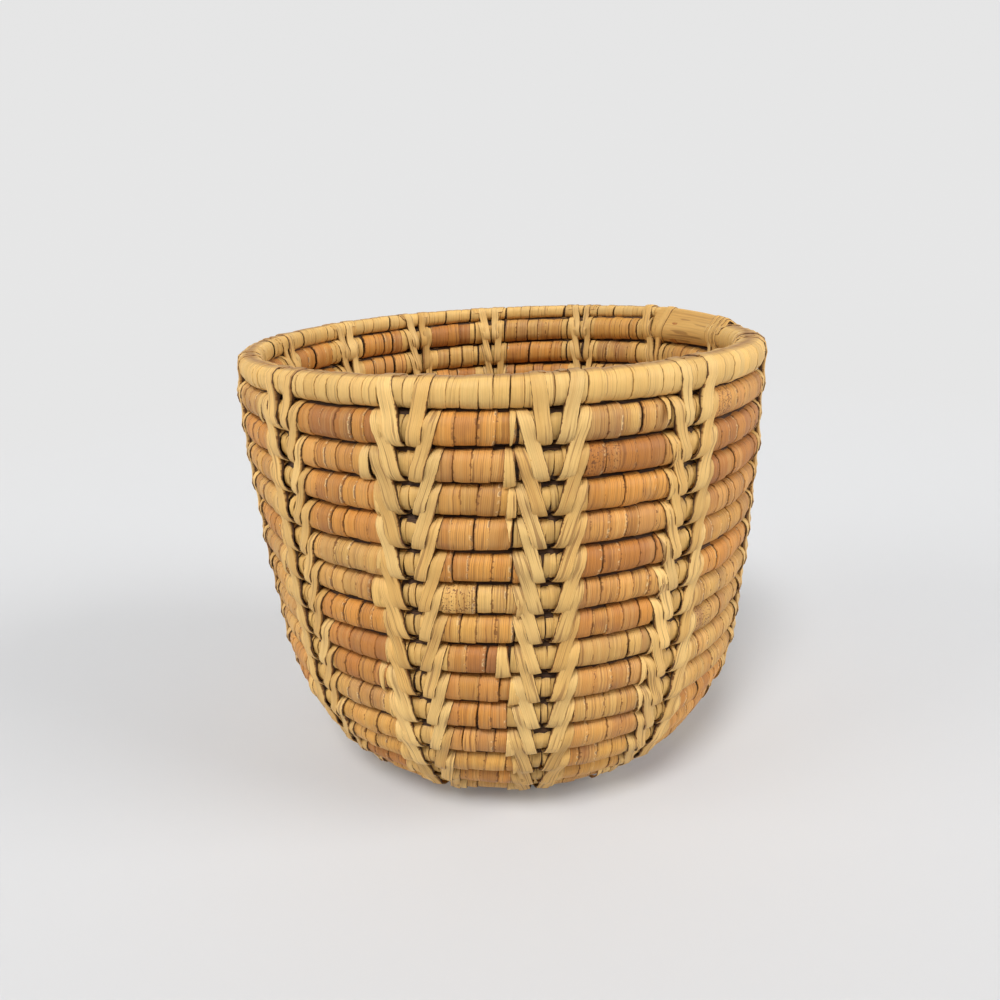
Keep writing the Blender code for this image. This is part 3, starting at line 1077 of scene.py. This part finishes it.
class TautStrips:
    """Strips laid tautly over the coil's thin end and the row under it."""

    def __init__(self, coil, palm, rng):
        self.palm = palm
        self.rng = rng
        self.turns = np.linspace(END_STRIP[0] - END_MARGIN, END_STRIP[1] + END_MARGIN, END_SECTIONS)
        self.hull = np.array([hull_section(coil, turn) for turn in self.turns])

    def at(self, row, turn, rise):
        both = [np.interp(turn, self.turns, self.hull[:, row, axis]) for axis in range(6)]
        return np.array(both[:3]) + np.array(both[3:]) * rise

    def lay(self, name, rows, turns, rises, grain, tone):
        """Turns and grain have a value for each row and column, and rises one for each column."""
        upper = [
            self.at(row, turn, rise) for row, line in zip(rows, turns) for turn, rise in zip(line, rises)
        ]
        lower = [self.at(row, turn, END_UNDERSIDE) for row, line in zip(rows, turns) for turn in line]
        mesh = bpy.data.meshes.new(name)
        mesh.from_pydata([tuple(point) for point in upper + lower], [], sheet_faces(*turns.shape))
        seed = self.rng.random() * 10
        # The end strips get painted shade along their edges, and more splits
        everywhere = {"seed": seed, "stain": 0.12, "specks": 0, "groove": 0, "dirt": 0.6, "tone": tone}
        for key, value in everywhere.items():
            store_attribute(mesh, key, np.broadcast_to(value, (len(mesh.vertices), *np.shape(value))))
        store_attribute(mesh, "grain", np.concatenate([grain.reshape(-1, 3)] * 2))
        mesh.materials.append(self.palm)
        mesh.shade_smooth()
        dressed(placed(name, mesh), "pale_palm", "rim_end_strip")

    def lay_lengthwise(self):
        """The flat strip, with its grain along the coil."""
        first, last = (int(END_STEPS * share) for share in FLAT_STRIP_ARC)
        rows = np.arange(first, last)
        turns = np.tile(np.linspace(*END_STRIP, FLAT_STRIP_STEPS), (len(rows), 1))
        ends = np.linspace(-1, 1, turns.shape[1])
        grain = np.zeros((*turns.shape, 3))
        grain[..., 0] = (turns - turns[0, 0]) * RIM_LENGTH
        grain[..., 1] = np.linspace(0, FLAT_STRIP_WIDTH, len(rows))[:, None]
        grain[..., 2] = np.abs(np.linspace(-1, 1, len(rows)))[:, None] ** 4
        rises = FLAT_STRIP_THICKNESS * (1 - ends**16)
        self.lay("rim_end_flat_strip", rows, turns, rises, grain, TAN)

    def lay_round(self, name, middle, width, spread, rise):
        """A strip round both rows, further along the coil at their top by the spread."""
        rows = np.arange(END_STEPS)
        across = np.array([x for x, _ in SECTION])
        share = 1 - np.abs(np.linspace(-1, 1, len(rows)) - 0.05)
        turns = (middle + spread * share[:, None] + width / 2 * across) / RIM_LENGTH
        rises = rise + (STRIP_THICKNESS - END_UNDERSIDE) * np.array([y for _, y in SECTION])
        grain = np.zeros((*turns.shape, 3))
        grain[..., 0] = np.linspace(0, BINDING_LENGTH, len(rows))[:, None]
        grain[..., 1] = across * width / 2
        grain[..., 2] = across
        self.lay(name, rows, turns, rises, grain, tuple(shaded(self.rng, TAN, STRAW, 0.8)))


def gathered(rows):
    """A list of rows as one array for each key."""
    return {key: np.array([row[key] for row in rows]) for key in rows[0]}


def dressed(piece, slot, *nodes):
    """Puts a piece on the basket's body, in place of its solids. Its slot is not used."""
    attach(piece, BODY)
    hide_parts(*nodes)


def make_bundle(coil, path, place):
    """The grass inside the coil, as one piece."""
    piece = grown("grass_bundle", points_object("bundle", {"seed": [0]}), bundle_tree(place), {
        "Path": path,
        "Turns": float(coil.turns[-1]),
        "Length": float(coil.length[-1]),
        "Half Depth": BUNDLE_HALF_DEPTH,
        "Half Height": BUNDLE_HALF_HEIGHT,
        "Sunk": BUNDLE_SUNK,
        "Material": bundle_material(),
    })
    dressed(piece, "wrapped_palm", "wrapped_coil")


def make_wraps(strips, path, place, palm):
    """The strips wound round the coil, as one piece for each of its turns."""
    tree = winding_tree(place)
    straight = straight_strip(WRAP_STEPS)
    rows = {}
    for part in strips:
        rows.setdefault(int(part["start"]), []).append(part)
    for number, members in rows.items():
        piece = grown(f"wrapping_row_{number + 1:02d}", points_object("wraps", gathered(members)), tree, {
            "Path": path,
            "Strip": straight,
            "Thickness": STRIP_THICKNESS,
            "Half Depth": WRAP_HALF_DEPTH,
            "Half Height": WRAP_HALF_HEIGHT,
            "Lay": WRAP_LAY,
            "Material": palm,
        })
        dressed(piece, "wrapped_palm", "wrapped_coil")
    bpy.data.objects.remove(straight)


def make_stitches(coil, columns, path, place, palm, rng):
    """The V stitches, as one piece for each column."""
    tree = stitching_tree(place)
    straight = straight_strip(LEG_STEPS)
    for number in range(len(COLUMN_AZIMUTHS)):
        legs = gathered(column_legs(coil, columns, number, rng))
        piece = grown(f"v_stitches_{number + 1:02d}", points_object("legs", legs), tree, {
            "Path": path,
            "Strip": straight,
            "Thickness": LEG_THICKNESS,
            "Half Depth": WRAP_HALF_DEPTH + STRIP_THICKNESS,
            "Half Height": WRAP_HALF_HEIGHT + STRIP_THICKNESS / 2,
            "Dip": LEG_DIP,
            "Backing": LEG_BACKING,
            "Overlap": LEG_OVERLAP,
            "Slant": COLUMN_SLANT / FULL_TURN,
            "Material": palm,
        })
        dressed(piece, "pale_palm", f"stitch_column_{number + 1:02d}")
    bpy.data.objects.remove(straight)


def make_rim_end(coil, palm, rng):
    """The flat strip along the coil's thin end, the strips that bind it, and the column's first V over it."""
    strips = TautStrips(coil, palm, rng)
    strips.lay_lengthwise()
    for number, start in enumerate(END_BINDINGS, 1):
        name = f"rim_end_binding_{number}"
        width = rng.uniform(*BINDING_WIDTHS)
        strips.lay_round(name, start * RIM_LENGTH, width, BINDING_SLANT, BINDING_RISE)
    column = (END_COLUMN_AZIMUTH - TIP_AZIMUTH) / FULL_TURN * RIM_LENGTH
    for number, side in enumerate((-1, 1), 1):
        name = f"rim_end_stitch_{number}"
        strips.lay_round(name, column + side * END_V_FOOT, LEG_WIDTH, side * END_V_SPREAD, END_V_RISE)


def make_basket(outline):
    rng = np.random.default_rng(SEED)
    coil = wound_coil(outline)
    columns = Columns(coil)
    path = path_object(coil)
    place = place_group()
    palm = palm_material()
    make_bundle(coil, path, place)
    make_wraps(Winding(coil, columns, rng).wind(), path, place, palm)
    make_stitches(coil, columns, path, place, palm, rng)
    make_rim_end(coil, palm, rng)
    bpy.data.objects.remove(path)


def plainly_seen(graph):
    """1 on rays from the camera, a gloss or a clear surface, which see the plain background, and else 0."""
    path = graph.node("ShaderNodeLightPath", {}, {})
    camera, glossy, through = (
        Value(graph, path.outputs[f"Is {kind} Ray"]) for kind in ("Camera", "Glossy", "Transmission")
    )
    return graph.clamp(camera + glossy + through)


def floor_material():
    """A pale floor that shows the basket's shadow, and further away the backdrop's even colour."""
    made, graph = shader("pale_floor")
    away = graph.vector("LENGTH", {0: graph.object_place()}, "Value")
    shadowed = graph.value("ShaderNodeBsdfPrincipled", {}, {"Base Color": FLOOR_COLOUR, "Roughness": 0.9})
    glow = graph.value("ShaderNodeEmission", {}, {"Color": BACKDROP, "Strength": 1.0})
    shown = plainly_seen(graph) * (0.1 + graph.clamp(away * 1.4 - 0.2) * 0.88)
    mixed = graph.value("ShaderNodeMixShader", {}, {0: shown, 1: shadowed, 2: glow})
    graph.node("ShaderNodeOutputMaterial", {}, {"Surface": mixed})
    return made


def make_floor():
    """A pale floor that curves up into a backdrop far behind the basket."""
    angles = np.radians(np.linspace(0, 90, 25))
    bend = [(FLOOR_BACK + math.sin(angle), 1 - math.cos(angle)) for angle in angles]
    profile = [(FLOOR_FRONT, 0), (FLOOR_BACK / 2, 0)] + bend + [(FLOOR_BACK + 1, BACKDROP_HEIGHT)]
    points = [(x, y, z) for y, z in profile for x in (-FLOOR_HALF_WIDTH, FLOOR_HALF_WIDTH)]
    faces = [(at, at + 1, at + 3, at + 2) for at in range(0, len(points) - 2, 2)]
    mesh = bpy.data.meshes.new("floor")
    mesh.from_pydata(points, [], faces)
    mesh.shade_smooth()
    floor = placed("floor", mesh)
    floor.data.materials.append(floor_material())


def make_light():
    world = bpy.data.worlds.new("studio")
    bpy.context.scene.world = world
    world.use_nodes = True
    world.node_tree.nodes.clear()
    graph = Graph(world.node_tree)
    studio = graph.value("ShaderNodeBackground", {}, {"Color": STUDIO, "Strength": STUDIO_STRENGTH})
    white = graph.value("ShaderNodeBackground", {}, {"Color": BACKDROP, "Strength": 1.0})
    mixed = graph.value("ShaderNodeMixShader", {}, {0: plainly_seen(graph), 1: studio, 2: white})
    graph.node("ShaderNodeOutputWorld", {}, {"Surface": mixed})
    for name, place, spread, power in LAMPS:
        lamp = bpy.data.lights.new(name, "SUN")
        lamp.angle = math.radians(spread)
        lamp.energy = power
        made = placed(name, lamp)
        made.location = place
        made.rotation_mode = "QUATERNION"
        made.rotation_quaternion = (-Vector(place)).to_track_quat("-Z", "Y")


def make_camera(outline):
    """A camera at the photograph's place."""
    rim_middle = Vector((0, 0, float(np.interp(0, outline.distance, outline.height))))
    stand = Vector(CAMERA_STAND) * RIM_RADIUS + rim_middle
    target = Vector(CAMERA_TARGET) * RIM_RADIUS + rim_middle
    forward = (target - stand).normalized()
    right = forward.cross(Vector((0, 0, 1))).normalized()
    up = right.cross(forward)
    across = right * math.cos(CAMERA_ROLL) + up * math.sin(CAMERA_ROLL)
    upright = up * math.cos(CAMERA_ROLL) - right * math.sin(CAMERA_ROLL)
    lens = bpy.data.cameras.new("camera")
    lens.lens = CAMERA_LENS
    lens.sensor_width = SENSOR_WIDTH
    lens.clip_start = 0.01
    made = placed("camera", lens)
    turned = Matrix((across, upright, -forward)).transposed().to_4x4()
    made.matrix_world = Matrix.Translation(stand) @ turned
    bpy.context.scene.camera = made


wall = wall_outline()
make_camera(wall)
make_floor()
make_light()
make_basket(wall)
bpy.context.scene.view_settings.view_transform = "Standard"
